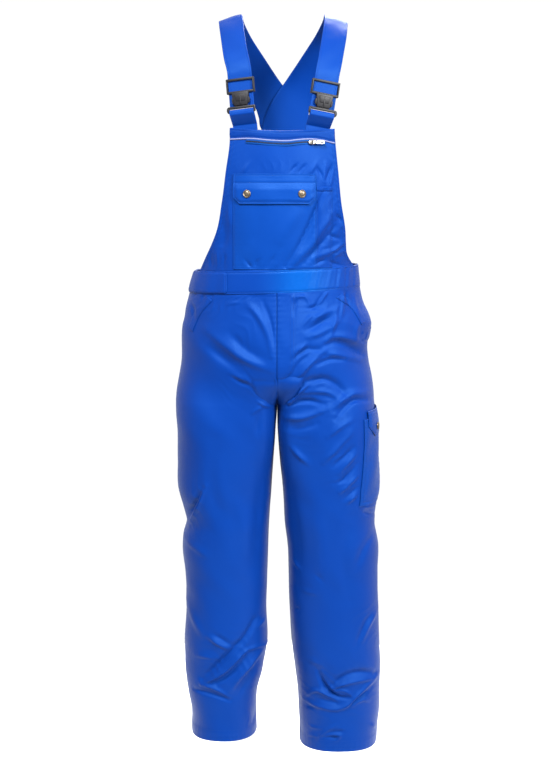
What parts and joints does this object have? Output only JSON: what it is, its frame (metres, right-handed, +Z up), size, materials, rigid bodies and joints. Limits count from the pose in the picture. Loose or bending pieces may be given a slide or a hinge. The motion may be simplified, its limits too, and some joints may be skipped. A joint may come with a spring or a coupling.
{
  "type": "bib-and-brace work overalls",
  "caption": "Blue cotton work overalls with a bib, braces on side-release buckles, chest, pencil and cargo pockets, filled out as worn.",
  "frame": {"origin": "between the two straps, level with where their undersides rest on the shoulders", "axes": "+Z up, front of the bib towards -Y, +X towards the wearer's left"},
  "size_m": [0.4129, 0.2794, 1.4605],
  "materials": {
    "twill": "mid-blue work twill",
    "webbing": "blue elastic webbing",
    "piping": "pale lavender piping",
    "buckle_plastic": "black moulded plastic",
    "snap_brass": "antique brass",
    "zip_metal": "pale nickel-brass zip slider"
  },
  "bodies": {
    "garment": {"front_leg_right": "twill", "front_leg_left": "twill", "back_leg_right": "twill", "back_leg_left": "twill", "fly": "twill", "waistband_front": "twill", "waistband_back": "twill", "waist_tab": "twill", "bib": "twill", "bib_band": "twill", "chest_pocket": "twill", "pocket_flap": "twill", "pencil_pocket": "twill", "hip_welt_right": "twill", "hip_welt_left": "twill", "cargo_pocket": "twill", "cargo_flap": "twill", "back_panel": "twill", "zip_tape": "twill", "strap_right": "webbing", "strap_left": "webbing", "lower_strap_right": "webbing", "lower_strap_left": "webbing", "buckle_upper_right": "buckle_plastic", "buckle_upper_left": "buckle_plastic", "buckle_lower_right": "buckle_plastic", "buckle_lower_left": "buckle_plastic", "chest_snap_right": "snap_brass", "chest_snap_left": "snap_brass", "cargo_snap_front": "snap_brass", "cargo_snap_back": "snap_brass", "piping": "piping", "zip_slider": "zip_metal"},
    "zip_pull": {"zip_pull": "zip_metal"}
  },
  "joints": [
    {"name": "zip_pull_swing", "type": "hinge", "parent": "garment", "child": "zip_pull", "pos_m": [0.06336, -0.11891, -0.23929], "axis": [0.012, -0.0584, -0.9982], "range_deg": [0, 150]}
  ]
}
